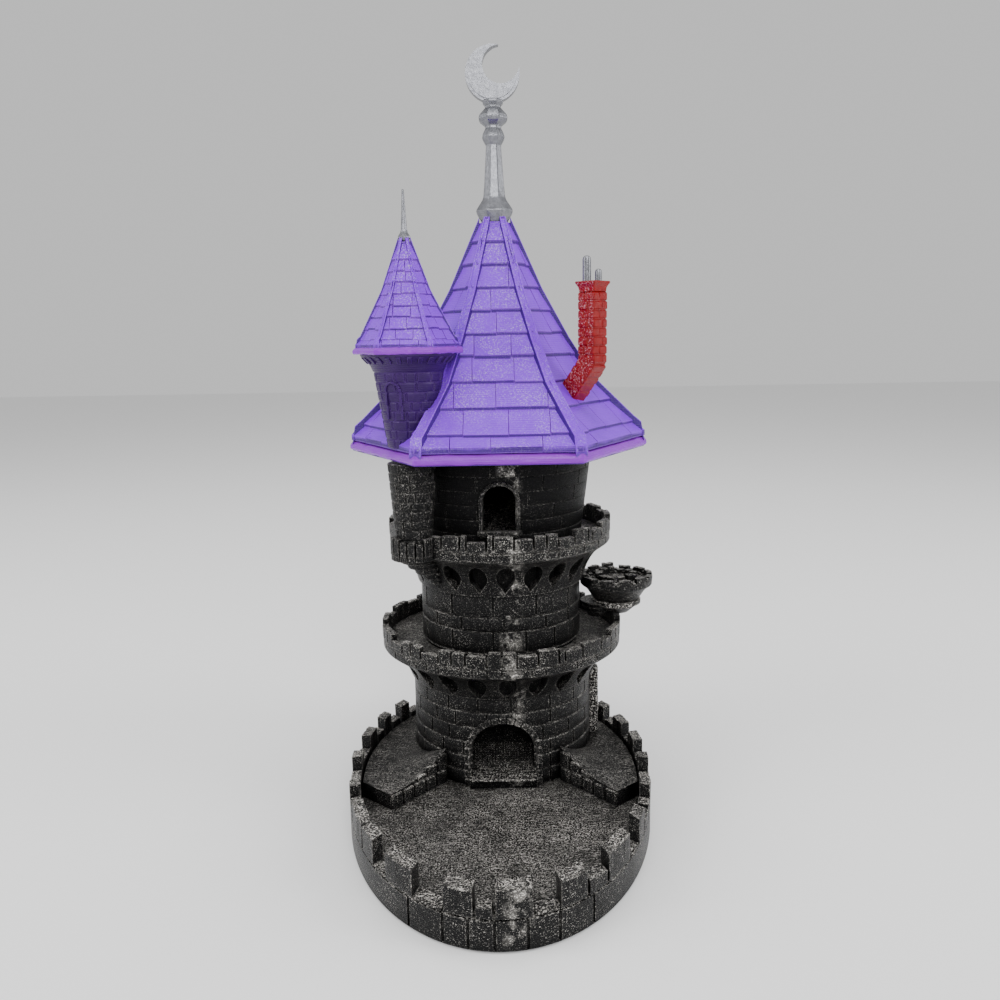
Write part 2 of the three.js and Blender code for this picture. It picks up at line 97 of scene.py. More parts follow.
# Base tray: the egg-shaped tray that the dice land in, black printed plastic dry-brushed with
# silver. A floor with a stone course round it carries the battlements; it lies on the table.
EDGE_ANGLE = math.radians(35)
TIP = 0.0002  # the radius that stands for a closed tip or the middle of a floor
tray_low, tray_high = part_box("base_tray")
tray_half_width = (tray_high.x - tray_low.x) * 500
tray_centre_x = (tray_high.x + tray_low.x) * 500
tray_centre_y = -30.2
tray_front = tray_centre_y - tray_low.y * 1000
tray_back = tray_high.y * 1000 - tray_centre_y
tray_floor = 7.4


class Paint:
    """A material on Object coordinates. Its methods add nodes and return what the nodes put out."""

    def __init__(self, name):
        self.material = bpy.data.materials.new(name)
        self.material.use_nodes = True
        self.tree = self.material.node_tree
        self.shader = self.tree.nodes["Principled BSDF"]
        self.place = self.node("ShaderNodeTexCoord").outputs["Object"]

    def feed(self, socket, value):
        """Links another node's output to a socket, or sets the socket to a plain value."""
        if isinstance(value, bpy.types.NodeSocket):
            self.tree.links.new(value, socket)
        else:
            socket.default_value = value

    def node(self, kind, values=None, **settings):
        node = self.tree.nodes.new(kind)
        for key, value in settings.items():
            setattr(node, key, value)
        for key, value in (values or {}).items():
            self.feed(node.inputs[key], value)
        return node

    def surface(self, values):
        for key, value in values.items():
            self.feed(self.shader.inputs[key], value)

    def noise(self, scale, detail, roughness=0.5, place=None):
        values = {"Scale": scale, "Detail": detail, "Roughness": roughness}
        values["Vector"] = self.place if place is None else place
        return self.node("ShaderNodeTexNoise", values).outputs["Fac"]

    def layers(self, distortion):
        """The print's fine level lines."""
        values = {"Vector": self.place, "Scale": 420, "Distortion": distortion, "Detail": 1}
        return self.node("ShaderNodeTexWave", values, bands_direction="Z").outputs["Fac"]

    def ramp(self, source, low, high, to_low=0.0, to_high=1.0):
        values = {"Value": source, "From Min": low, "From Max": high, "To Min": to_low, "To Max": to_high}
        return self.node("ShaderNodeMapRange", values).outputs["Result"]

    def speckle(self, size, low, high):
        return self.ramp(self.noise(size, 3, 0.7), low, high)

    def maths(self, operation, *values, clamp=True):
        total = values[0]
        for value in values[1:]:
            node = self.node("ShaderNodeMath", {0: total, 1: value}, operation=operation, use_clamp=clamp)
            total = node.outputs[0]
        return total

    def times(self, *values, clamp=True):
        return self.maths("MULTIPLY", *values, clamp=clamp)

    def plus(self, *values, clamp=True):
        return self.maths("ADD", *values, clamp=clamp)

    def most(self, *values):
        return self.maths("MAXIMUM", *values)

    def mix(self, share, first, second):
        return self.node("ShaderNodeMix", {0: share, 6: first, 7: second}, data_type="RGBA").outputs[2]

    def split(self, vector):
        return self.node("ShaderNodeSeparateXYZ", {0: vector}).outputs

    def normal(self):
        return self.node("ShaderNodeNewGeometry").outputs["Normal"]

    def edges(self, low, high, radius=0.0006):
        """Where a rounded normal parts from the true one, which is along the edges."""
        rounded = self.node("ShaderNodeBevel", {"Radius": radius}, samples=4).outputs["Normal"]
        alike = self.node("ShaderNodeVectorMath", {0: rounded, 1: self.normal()}, operation="DOT_PRODUCT")
        return self.ramp(alike.outputs["Value"], high, low)

    def bump(self, height, strength, distance):
        values = {"Strength": strength, "Distance": distance, "Height": height}
        self.surface({"Normal": self.node("ShaderNodeBump", values).outputs["Normal"]})


def printed_black(name, dusting, top_dusting, sheen=0.11, wear=0.0, silver_left_in_painted_shade=1.0):
    """Black plastic with fine print grain; silver paint caught on edges, tops and grain. Hollows get
    painted shade, and the front seam a painted highlight.
    """
    paint = Paint(name)
    ramp, times, plus = paint.ramp, paint.times, paint.plus
    spot = paint.split(paint.place)
    flecks = paint.speckle(2400, 0.60, 0.66)
    coarse = paint.speckle(1600, 0.55, 0.60)
    patches = paint.speckle(75, 0.42, 0.66)
    turned = {"Vector": paint.place, "Rotation": (0, 0, math.radians(38)), "Scale": (300, 1900, 900)}
    strokes = paint.node("ShaderNodeMapping", turned).outputs["Vector"]
    streaks = ramp(paint.noise(1.0, 3, 0.7, strokes), 0.58, 0.66)
    tops = ramp(paint.split(paint.normal())["Z"], 0.35, 0.9)
    open_air = paint.node("ShaderNodeAmbientOcclusion", {"Distance": 0.006}, samples=6)
    open_and_unshaded = ramp(open_air.outputs["AO"], 0.45, 0.9)

    # The paint lies in patches on walls and tops, and along edges; it thins out in hollows, partly where
    # the brush misses them and partly as painted shade.
    on_walls = times(flecks, open_and_unshaded, plus(times(patches, dusting), dusting * 0.35))
    grain = paint.most(coarse, times(streaks, 0.8))
    raised = ramp(spot["Z"], 0.0085, 0.0115, 0.7, 1.35)
    # Deep inside the door the tops keep only the given share of their silver: painted shade in the doorway.
    inside = ramp(spot["Y"], -0.029, -0.037, silver_left_in_painted_shade)
    on_tops = times(grain, tops, plus(times(patches, top_dusting * 0.55), top_dusting * 0.45),
                    times(raised, inside, clamp=False))
    on_edges = times(paint.edges(0.86, 0.985), open_and_unshaded,
                     plus(times(coarse, 0.3 + 0.6 * dusting), times(patches, 0.12 * dusting)))

    # A seam runs up the front of the whole tower, brushed with silver here and there; on the front the same
    # silver also paints the highlight that the front light leaves along it.
    seam_x = 0.004
    from_seam = paint.maths("SUBTRACT", spot["X"], seam_x, clamp=False)
    off_seam = paint.maths("ABSOLUTE", from_seam, 0, clamp=False)
    seam_spots = times(paint.speckle(190, 0.48, 0.62), paint.maths("SUBTRACT", 1.0, tops))
    seam_paint_and_highlight = times(
        times(ramp(off_seam, 0.0055, 0.0015), ramp(spot["Y"], -0.02, -0.03), seam_spots, open_and_unshaded),
        plus(times(coarse, 0.9), 0.2),
    )
    silver_paint = paint.most(on_walls, on_tops, on_edges, seam_paint_and_highlight, times(coarse, wear))

    # The black itself is painted darker in hollows, from the occlusion mask: painted shade.
    ground = paint.mix(open_and_unshaded, (0.0006, 0.0006, 0.0007, 1), (0.0042, 0.0042, 0.0045, 1))
    paint.surface({
        "Base Color": paint.mix(silver_paint, ground, (0.72, 0.69, 0.64, 1)),
        "Roughness": ramp(silver_paint, 0, 1, 0.33, 0.5),
        "Specular IOR Level": sheen,
        "Metallic": times(silver_paint, 0.25),
    })
    height = plus(paint.noise(1500, 4, 0.65), times(paint.layers(1.5), 0.12), clamp=False)
    paint.bump(height, 0.7, 0.0007)
    return paint.material


stone_black = printed_black("stone_black", 0.6, 0.6)
rough_black = printed_black("rough_black", 1.0, 1.0)
worn_black = printed_black("worn_black", 1.0, 1.0, wear=0.9)
terrace_black = printed_black("terrace_black", 0.5, 0.34)
# The ramp's black keeps little silver and sheen, and none on its tops deep in the door: painted shade
# inside the doorway.
ramp_black_in_painted_shade = printed_black("ramp_black_in_painted_shade", 0.3, 0.6, sheen=0.03, silver_left_in_painted_shade=0.0)
# The lantern room's black keeps little silver and a low sheen: painted shade under the roof.
lantern_black_in_painted_shade = printed_black("lantern_black_in_painted_shade", 0.12, 0.3, sheen=0.05)


def select_only(piece):
    bpy.ops.object.select_all(action="DESELECT")
    piece.select_set(True)
    bpy.context.view_layer.objects.active = piece


def select_nothing():
    bpy.ops.mesh.select_all(action="DESELECT")


def extrude(by):
    """Draws the selection out by a step, with walls behind it."""
    bpy.ops.mesh.extrude_region_move(TRANSFORM_OT_translate={"value": by})


def sink(deep):
    """Pulls the selected faces in, with walls round them."""
    bpy.ops.mesh.extrude_region_shrink_fatten(TRANSFORM_OT_shrink_fatten={"value": -deep})


def widen(share, centre=(0, 0, 0)):
    """Scales the selection in plan and leaves its height alone."""
    bpy.ops.transform.resize(value=(share, share, 1), center_override=centre)


def round_point(radius, around, height):
    """A point on a circle about the axis."""
    return (radius * math.cos(around), radius * math.sin(around), height)


def add_piece(name):
    """An empty mesh object in edit mode, to which primitives are added in place, in millimetres."""
    if bpy.context.object and bpy.context.object.mode == "EDIT":
        bpy.ops.object.mode_set(mode="OBJECT")
    bpy.ops.object.select_all(action="DESELECT")
    bpy.ops.mesh.primitive_plane_add(size=1)
    piece = bpy.context.object
    piece.name = name
    bpy.ops.object.mode_set(mode="EDIT")
    bpy.ops.mesh.delete(type="VERT")
    return piece


def pick(piece, wanted):
    """Selects the faces that the test wants, and nothing else."""
    bpy.ops.mesh.select_mode(type="FACE")
    shape = bmesh.from_edit_mesh(piece.data)
    for face in shape.faces:
        face.select_set(wanted(face))
    bmesh.update_edit_mesh(piece.data)


def pick_vertices(piece, wanted):
    """Selects the vertices whose place the test wants, and nothing else."""
    bpy.ops.mesh.select_mode(type="VERT")
    shape = bmesh.from_edit_mesh(piece.data)
    for vertex in shape.verts:
        vertex.select_set(wanted(vertex.co))
    bmesh.update_edit_mesh(piece.data)


def leave_edit(piece):
    """Turns all faces outwards and leaves edit mode."""
    if piece.mode == "EDIT":
        bpy.ops.mesh.select_all(action="SELECT")
        bpy.ops.mesh.normals_make_consistent(inside=False)
        bpy.ops.object.mode_set(mode="OBJECT")


def modify(piece, kind, **settings):
    """Adds one modifier to the finished mesh and applies it."""
    modifier = piece.modifiers.new(kind.lower(), kind)
    for key, value in settings.items():
        setattr(modifier, key, value)
    bpy.context.view_layer.objects.active = piece
    bpy.ops.object.modifier_apply(modifier=modifier.name)


def finish_piece(piece, body, material, nodes=(), bevel=0.0, smooth=30):
    """Leaves edit mode, rounds the edges, brings millimetres to metres and hands the piece over."""
    leave_edit(piece)
    if bevel:
        modify(piece, "BEVEL", width=bevel, segments=1, limit_method="ANGLE", angle_limit=EDGE_ANGLE)
    select_only(piece)
    bpy.ops.object.transform_apply(location=True, rotation=True, scale=True)
    piece.scale = (0.001, 0.001, 0.001)
    bpy.ops.object.transform_apply(location=True, rotation=True, scale=True)
    if smooth:
        bpy.ops.object.shade_smooth_by_angle(angle=math.radians(smooth))
    piece.data.materials.clear()
    piece.data.materials.append(material)
    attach(piece, body)
    if nodes:
        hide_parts(*nodes)


def add_block(place, size, turn=0.0, tilt=0.0, roll=0.0):
    """A box in edit mode, left selected: turned about Z last, tilted about X and rolled about Y."""
    select_nothing()
    bpy.ops.mesh.primitive_cube_add(size=1, location=place, rotation=(tilt, roll, turn), scale=size)


def raise_wall(sides, joint, profile, start=0.0):
    """A closed ring wall: a circle, nicked at every possible stone joint, raised ring by ring."""
    first_radius, first_height = profile[0]
    select_nothing()
    bpy.ops.mesh.primitive_circle_add(vertices=sides, radius=first_radius, rotation=(0, 0, start))
    bpy.ops.mesh.select_mode(type="VERT")
    if joint:
        bpy.ops.mesh.bevel(offset=joint / 2, affect="VERTICES")
    bpy.ops.transform.translate(value=(0, 0, first_height))
    radius, height = first_radius, first_height
    for next_radius, next_height in [*profile[1:], profile[0]]:
        extrude((0, 0, next_height - height))
        widen(next_radius / radius)
        radius, height = next_radius, next_height
    bpy.ops.mesh.select_all(action="SELECT")
    bpy.ops.mesh.remove_doubles(threshold=0.0005)
    bpy.ops.mesh.normals_make_consistent(inside=False)


def coursed(radius_at, bottom, heights, joint, deep):
    """A wall's outline of stone courses with a V-shaped joint below and above each, going up."""
    outline = []
    at = bottom
    for height in heights:
        low, high = at + joint / 2, at + height - joint / 2
        outline += [(radius_at(at) - deep, at), (radius_at(low), low), (radius_at(high), high)]
        at += height
    return [*outline, (radius_at(at) - deep, at)]


def ring_angle(sides, start=0.0):
    """How far round a ring wall a point lies, counted in strips from the first joint."""
    return lambda at: ((math.atan2(at.y, at.x) - start) % (2 * math.pi)) * sides / (2 * math.pi)


def cut_joints(piece, sides, strip_of, bottom, heights, shortest, longest, deep, draw):
    """Sinks the upright joints between the stones of each course, at lengths drawn at random."""
    courses = []
    at = bottom
    for height in heights:
        joints = set()
        strip = draw.randrange(shortest)
        while strip <= sides - shortest // 2:
            joints.add(strip)
            strip += draw.randint(shortest, longest)
        courses.append((at, at + height, joints))
        at += height

    def in_a_joint(face):
        centre = face.calc_center_median()
        inward = face.normal.dot(Vector((centre.x, centre.y, 0))) < 0
        if inward or abs(face.normal.z) > 0.6 or face.calc_area() > 12:
            return False
        strip = strip_of(centre)
        nearest = round(strip)
        if abs(strip - nearest) > 0.25:
            return False
        return any(
            low + 0.6 < centre.z < high - 0.6 and nearest % sides in joints for low, high, joints in courses
        )

    pick(piece, in_a_joint)
    sink(deep)


def raise_blocks(piece, strip_of, level, blocks):
    """Pulls stones up out of a wall's top, each from one joint to another and to its own height."""
    for first, last, height in blocks:
        pick(piece, lambda face: (
            face.normal.z > 0.9
            and abs(face.calc_center_median().z - level) < 0.05
            and first + 0.25 < strip_of(face.calc_center_median()) < last - 0.25
        ))
        extrude((0, 0, height - level))


def roughen(piece, wanted, amount, seed):
    """Moves the picked faces' corners a little, each its own way."""
    pick(piece, wanted)
    bpy.ops.transform.vertex_random(offset=amount, seed=seed)


def cut_away(piece, cutter):
    """Cuts the cutter's shape out of a piece, and throws the cutter away."""
    leave_edit(cutter)
    bpy.ops.object.select_all(action="DESELECT")
    modify(piece, "BOOLEAN", object=cutter, operation="DIFFERENCE", solver="MANIFOLD")
    bpy.data.objects.remove(cutter)


tray_sides = 180
tray_strip_turn = 2 * math.pi / tray_sides
tray_draw = random.Random(3)
tray_course_top = 11.0
tray_blocks_foot = 11.6


def tray_strip(at):
    deep = tray_front if at.y < tray_centre_y else tray_back
    angle = math.atan2((at.y - tray_centre_y) / deep, (at.x - tray_centre_x) / tray_half_width)
    return (angle % (2 * math.pi)) / tray_strip_turn


tray = add_piece("tray_body")
raise_wall(tray_sides, 0.015, [  # drawn at radius 1, then stretched to the tray's egg shape
    (0.985, 0.0), (1.0, 0.6), (1.0, tray_course_top), (0.985, tray_course_top + 0.15),
    (0.985, tray_blocks_foot - 0.15), (1.0, tray_blocks_foot), (0.932, tray_blocks_foot),
    (0.925, tray_floor), (0.7, tray_floor), (0.4, tray_floor), (TIP, tray_floor), (TIP, 0.0), (0.5, 0.0),
])
for front, deep in ((True, tray_front), (False, tray_back)):
    pick_vertices(tray, lambda at: at.y < -1e-6 if front else at.y > 1e-6)
    bpy.ops.transform.resize(value=(1, deep, 1), center_override=(0, 0, 0))
bpy.ops.mesh.select_all(action="SELECT")
bpy.ops.transform.resize(value=(tray_half_width, 1, 1), center_override=(0, 0, 0))
bpy.ops.transform.translate(value=(tray_centre_x, tray_centre_y, 0))
bpy.ops.mesh.normals_make_consistent(inside=False)

# The battlements' stones, from one joint to another, going round from the right-hand side.
tray_stones = [
    (108, 112, 20.9), (112, 115, 12.1), (115, 121, 21.0), (121, 126, 12.1), (126, 131, 20.6),
    (131, 134, 15.4), (134, 140, 21.4), (140, 144, 12.1), (144, 149, 20.8), (149, 153, 16.4),
    (153, 159, 21.2), (159, 162, 12.2),
]
strip = 162
while strip < tray_sides + 108:
    stones_left = tray_sides + 108 - strip
    merlon = tray_draw.choice((3, 4, 4))
    gap = 3
    if stones_left < merlon + gap + 3:
        merlon = stones_left
        gap = 0
    high = tray_draw.uniform(20.4, 21.6)
    if merlon > 3 and tray_draw.random() < 0.6:
        low = high - tray_draw.uniform(3.5, 5.5)
        tray_stones += [(strip, strip + 2, low), (strip + 2, strip + merlon, high)]
    else:
        tray_stones.append((strip, strip + merlon, high))
    if gap:
        tray_stones.append((strip + merlon, strip + merlon + gap, tray_draw.uniform(15.6, 17.2)))
    strip += merlon + gap
wrapped = []
for first, last, high in tray_stones:
    if first >= tray_sides:
        first, last = first - tray_sides, last - tray_sides
    if first < tray_sides < last:
        wrapped += [(first, tray_sides, high), (0, last - tray_sides, high)]
    else:
        wrapped.append((first, last, high))
raise_blocks(tray, tray_strip, tray_blocks_foot, wrapped)
cut_joints(tray, tray_sides, tray_strip, 0.6, [tray_course_top - 0.6], 4, 6, 0.7, tray_draw)
roughen(tray, lambda face: face.normal.z > 0.9 and face.calc_center_median().z > 11.8, 0.35, 5)
finish_piece(tray, "base", rough_black, ["base_tray"], bevel=0.35)

# Terraces and ramp: the sloping terraces on both sides of the door and the ramp in it are printed
# with the tray. Low walls of fitted stones face the terraces, and the ramp is cross-ridged.
def repaint(node, material):
    """Gives a CAD node that keeps its mesh another material."""
    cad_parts[node].data.materials.clear()
    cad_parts[node].data.materials.append(material)


repaint("terrace_left", terrace_black)
repaint("terrace_right", terrace_black)
repaint("exit_ramp", ramp_black_in_painted_shade)

wing_draw = random.Random(11)
wing_start = Vector((23.6, -31.4, 0))
wing_end = Vector((44.0, -54.0, 0))
wing_walls = add_piece("terrace_walls")
wing_line = wing_end - wing_start
for side in (-1, 1):
    for bottom, top, stones in ((7.4, 13.4, 5), (13.6, 22, 4)):
        for stone in range(stones):
            near, far = stone / stones, (stone + 1) / stones
            if bottom > 10:
                near, far = near * 0.72, far * 0.72
            middle = wing_start + wing_line * (near + far) / 2
            reach = min(1, (middle - wing_start).length / 28)
            crest = 14 + 8 * (1 - reach) ** 2
            high = min(top, crest - 0.2)
            if high - bottom < 1:
                continue
            place = (side * middle.x, middle.y, (bottom + high) / 2)
            thick = 1.6 + wing_draw.uniform(-0.2, 0.2)
            size = (wing_line.length * (far - near) - 0.7, thick, high - bottom)
            add_block(place, size, turn=side * math.atan2(wing_line.y, wing_line.x))
finish_piece(wing_walls, "base", rough_black, bevel=0.45)

ramp_ridges = add_piece("ramp_ridges")
ramp_slope = math.radians(30)
for step in range(16):
    along = 0.7 + step * 1.1
    add_block((0, -38.3 + along * math.cos(ramp_slope), 11 + along * math.sin(ramp_slope)),
              (27, 0.4, 0.5), tilt=ramp_slope)
for step in range(24):
    middle = Vector((-12.65 + step * 1.1, -38.3 + 9.2 * math.cos(ramp_slope),
                     11 + 9.2 * math.sin(ramp_slope)))
    add_block(middle, (0.35, 18, 0.5), tilt=ramp_slope)
finish_piece(ramp_ridges, "base", ramp_black_in_painted_shade)

door_lip = add_piece("door_lip")
add_block((0, -38.5, 11.1), (25.5, 0.8, 0.7))
finish_piece(door_lip, "base", worn_black, bevel=0.15)

# Lower tower: a round stone shell with the arched door, standing in the tray. The arch has its own
# ring of wedge stones, and a rough strip of stones runs up the right-hand side.
lower_radius = 38.3
lower_inner = 33.5
lower_sides = 72
lower_draw = random.Random(21)
lower_courses = [6.3, 6.4, 6.2, 6.5, 6.3, 6.6]
lower_foot = 7.7
lower_top = 57.7
lower = add_piece("lower_tower_walls")
lower_outline = coursed(lambda z: lower_radius, lower_foot, lower_courses, 0.8, 0.6)
raise_wall(lower_sides, 0.8, [*lower_outline, (lower_radius, 46.7), (lower_radius - 3, 46.7),
                              (lower_radius - 3, lower_top), (lower_inner, lower_top),
                              (lower_inner, lower_foot)])
cut_joints(lower, lower_sides, ring_angle(lower_sides), lower_foot, lower_courses, 3, 5, 0.6, lower_draw)
leave_edit(lower)


def arch_cutter(half, bottom, spring, top, middle, depth, turn=0.0, sides=32):
    """An upright arched block that cuts a door or window through a wall."""
    cutter = add_piece("arch_cutter")
    bpy.ops.mesh.primitive_cylinder_add(
        vertices=sides, radius=1, depth=1, location=(0, 0, spring), rotation=(math.pi / 2, 0, 0),
        scale=(half, top - spring, depth),
    )
    pick_vertices(cutter, lambda at: at.z < spring - 0.01)
    bpy.ops.transform.resize(value=(1, 1, 0), center_override=(0, 0, bottom))
    leave_edit(cutter)
    cutter.location = middle
    cutter.rotation_euler = (0, 0, turn)
    bpy.ops.object.select_all(action="DESELECT")
    cutter.select_set(True)
    bpy.ops.object.transform_apply(location=True, rotation=True, scale=True)
    return cutter


cut_away(lower, arch_cutter(14, 0, 21, 36, (0, -36, 0), 20))
finish_piece(lower, "base", stone_black, ["lower_tower"], bevel=0.3)


def arch_stones(radius_at, aim, half, spring, top, wide, deep, count, gap, proud):
    """A ring of wedge stones round an arch, on a round wall, from springing to springing."""
    for stone in range(count):
        turn_up = math.pi * (stone + 0.5) / count
        sideways = (half + wide / 2) * math.cos(turn_up)
        height = spring + (top - spring + wide / 2) * math.sin(turn_up)
        around = aim + sideways / radius_at(height)
        out = radius_at(height) + proud - deep / 2
        along = math.pi * (half + top - spring + wide) / 2 / count - gap
        place = round_point(out, around, height)
        add_block(place, (along, deep, wide), turn=around + math.pi / 2, roll=math.pi / 2 - turn_up)


def jamb_stones(radius_at, aim, half, bottom, spring, wide, deep, count, gap, proud):
    """The upright stones on both sides below an arch."""
    for side in (-1, 1):
        for stone in range(count):
            tall = (spring - bottom) / count
            height = bottom + tall * (stone + 0.5)
            around = aim + side * (half + wide / 2) / radius_at(height)
            out = radius_at(height) + proud - deep / 2
            place = round_point(out, around, height)
            add_block(place, (wide, deep, tall - gap), turn=around + math.pi / 2)


FRONT = -math.pi / 2
door_arch = add_piece("door_arch")
arch_stones(lambda z: lower_radius, FRONT, 13.6, 21, 35.4, 2.6, 3.2, 15, 0.35, 0.9)
jamb_stones(lambda z: lower_radius, FRONT, 13.6, 7.6, 21, 2.6, 3.2, 4, 0.35, 0.9)
finish_piece(door_arch, "base", rough_black, bevel=0.4)

strip_draw = random.Random(8)
side_strip = add_piece("side_strip")
for stone in range(9):
    out = lower_radius + 1.8 + strip_draw.uniform(-0.1, 0.1)
    aside = strip_draw.uniform(-0.2, 0.2)
    add_block((out, aside, 16.3 + stone * 3.4), (4.0, 4.2, 3.3))
finish_piece(side_strip, "base", worn_black, bevel=0.4)

# Galleries: two corbelled walkways round the tower, each one print with its parapet. Round-headed
# niches leave corbels between them, and a rough band runs under the battlements.
niches = 22
parapet_sides = 112


def corbel_curve(r0, z0, r1, z1, steps=6):
    points = []
    for step in range(steps + 1):
        t = step / steps
        radius = r0 * (1 - t) ** 2 + 2 * (r0 + (r1 - r0) * 0.3) * t * (1 - t) + r1 * t * t
        height = z0 * (1 - t) ** 2 + 2 * (z0 + (z1 - z0) * 0.75) * t * (1 - t) + z1 * t * t
        points.append((radius, height))
    return points


def make_gallery(name, node, body, wall, hole, bottom, seat, outer, top, draw):
    ring = add_piece(name)
    walkway = seat + 3.8
    skirt = wall - 2.6
    raise_wall(niches * 4, 0, [
        (skirt, bottom + 0.9), (wall + 0.3, bottom + 0.9),
        *corbel_curve(wall + 1.3, bottom, outer - 1.8, seat + 0.3), (outer - 1.4, seat + 0.6),
        (outer - 1.2, seat + 1.4), (outer - 1.2, seat + 3.9), (outer - 2.6, seat + 3.9),
        (outer - 2.6, walkway), ((outer + hole) / 2, walkway), (hole, walkway), (hole, seat + 0.3),
        (skirt, seat + 0.3),
    ], start=FRONT + math.radians(3))
    leave_edit(ring)
    cutter = add_piece("niche_cutter")
    middle_height = (bottom + seat) / 2 + 0.5
    depth = outer - wall + 3
    for niche in range(niches):
        around = FRONT + math.radians(3) + niche * 2 * math.pi / niches
        out = wall - 1.9 + depth / 2
        select_nothing()
        bpy.ops.mesh.primitive_cylinder_add(
            vertices=14, radius=1, depth=depth, rotation=(math.pi / 2, 0, around + math.pi / 2),
            location=round_point(out, around, middle_height + 0.3), scale=(3.8, 5.0, 1),
        )
    lowest = min(vertex.co.z for vertex in bmesh.from_edit_mesh(cutter.data).verts)
    pick_vertices(cutter, lambda at: at.z < lowest + 0.3)
    bpy.ops.transform.translate(value=(0, 0, -2.0))
    cut_away(ring, cutter)
    finish_piece(ring, body, stone_black, [node], bevel=0.35)

    parapet = add_piece(name + "_parapet")
    turn = 2 * math.pi / parapet_sides
    start = FRONT - 2 * turn
    foot = seat + 4.9
    sill = top - 6
    raise_wall(parapet_sides, 0.7, [
        (outer - 0.1, foot), (outer - 0.1, sill), (outer - 2.8, sill), (outer - 2.8, seat + 1.0),
        (outer - 1.0, seat + 1.0), (outer - 0.3, seat + 1.4), (outer - 0.3, foot - 0.45),
        (outer - 0.9, foot - 0.2),
    ], start=start)
    strip_of = ring_angle(parapet_sides, start)
    stones = []
    for merlon in range(16):
        first = merlon * 7
        heights = [top - draw.uniform(0, 0.9) for _ in range(2)]
        split = draw.choice((0, 1, 2, 2, 3))
        if split:
            stones += [(first, first + split, heights[0]), (first + split, first + 4, heights[1])]
        else:
            stones.append((first, first + 4, heights[0]))
        stones.append((first + 4, first + 7, top - draw.uniform(1.3, 3.0)))
    raise_blocks(parapet, strip_of, sill, stones)
    cut_joints(parapet, parapet_sides, strip_of, seat + 1.1, [foot - seat - 1.4], 2, 5, 0.5, draw)
    roughen(parapet, lambda face: face.normal.z > 0.9 and face.calc_center_median().z > sill, 0.22,
            draw.randrange(99))
    finish_piece(parapet, body, rough_black, bevel=0.3)


make_gallery("lower_gallery_ring", "lower_gallery", "base", lower_radius, lower_inner, 46, lower_top,
             51.4, 69.4,
             random.Random(31))

# Middle tower: a round shell of big stones that plugs into the lower gallery. It carries the
# upper gallery and hides two sloping baffles.
middle_radius = 34.0
middle_inner = 28.9
middle_sides = 48
middle_foot = 62.1
middle_top = 102.3
middle_start = math.radians(2)
middle_courses = [0.9, 9.0, 5.7, 9.3]
middle_draw = random.Random(41)
middle = add_piece("middle_tower_walls")
raise_wall(middle_sides, 0.9, [
    (middle_inner, 56.5), (33.2, 56.5), (33.2, middle_foot - 0.01),
    *coursed(lambda z: middle_radius, middle_foot, middle_courses, 0.8, 0.6), (middle_radius, 87.7),
    (middle_radius - 3, 87.7), (middle_radius - 3, middle_top), (middle_inner, middle_top),
], start=middle_start)
cut_joints(middle, middle_sides, ring_angle(middle_sides, middle_start), middle_foot, middle_courses, 3,
           4, 0.6,
           middle_draw)
finish_piece(middle, "upper_section", stone_black, ["middle_tower"], bevel=0.3)
repaint("lower_baffle", stone_black)
repaint("upper_baffle", stone_black)

make_gallery("upper_gallery_ring", "upper_gallery", "upper_section", middle_radius, middle_inner, 87,
             middle_top, 47.0,
             114.1, random.Random(51))

# Bartizan: the little round turret that hangs on the right of the middle tower, a bowl with
# shallow niches and a broken rim round a rough floor, on a tapering stub.
bartizan_x = 49.85
bartizan_sides = 48
bartizan_start = math.radians(-90 - 3.75)
bartizan_draw = random.Random(61)
bartizan = add_piece("bartizan_bowl")
raise_wall(bartizan_sides, 0.5, [
    (10.6, 74.2), (10.6, 75.8), (9.8, 76.2), (10.8, 77.6), (12.2, 79.8), (13.5, 81.4), (15.0, 82.3),
    (15.4, 82.8), (15.5, 84.9), (13.2, 84.9), (12.6, 84.2), (9.0, 84.9), (6.0, 85.0), (3.0, 85.5),
    (TIP, 85.4), (TIP, 70.0), (5.6, 70.3), (8.8, 73.2),
], start=bartizan_start)
bartizan_strip = ring_angle(bartizan_sides, bartizan_start)
rim_stones = []
for merlon in range(12):
    first = merlon * 4
    high = bartizan_draw.uniform(86.3, 87.8)
    low = high - bartizan_draw.uniform(0.8, 1.6)
    rim_stones += [(first, first + 3, high), (first + 3, first + 4, low)]
raise_blocks(bartizan, bartizan_strip, 84.9, rim_stones)
for rubble in range(90):
    around = bartizan_draw.uniform(0, 2 * math.pi)
    out = 12.6 * math.sqrt(bartizan_draw.random())
    size = bartizan_draw.uniform(1.2, 2.4)
    add_block(round_point(out, around, 84.7), (size, size * 0.7, bartizan_draw.uniform(0.8, 2.2)),
              turn=around * 3, tilt=bartizan_draw.uniform(-0.3, 0.3))
roughen(bartizan, lambda face: face.normal.z > 0.6 and face.calc_center_median().z > 84.5, 0.3, 7)
leave_edit(bartizan)
bartizan_niches = add_piece("bartizan_niches")
for niche in range(14):
    around = FRONT + (niche + 0.5) * 2 * math.pi / 14
    select_nothing()
    bpy.ops.mesh.primitive_cylinder_add(
        vertices=12, radius=1, depth=6, rotation=(math.pi / 2, 0, around + math.pi / 2),
        location=round_point(14.4, around, 79.2), scale=(1.8, 2.6, 1),
    )
cut_away(bartizan, bartizan_niches)
bartizan.location = (bartizan_x, 0, 0)
finish_piece(bartizan, "upper_section", rough_black, ["bartizan"], bevel=0.2)

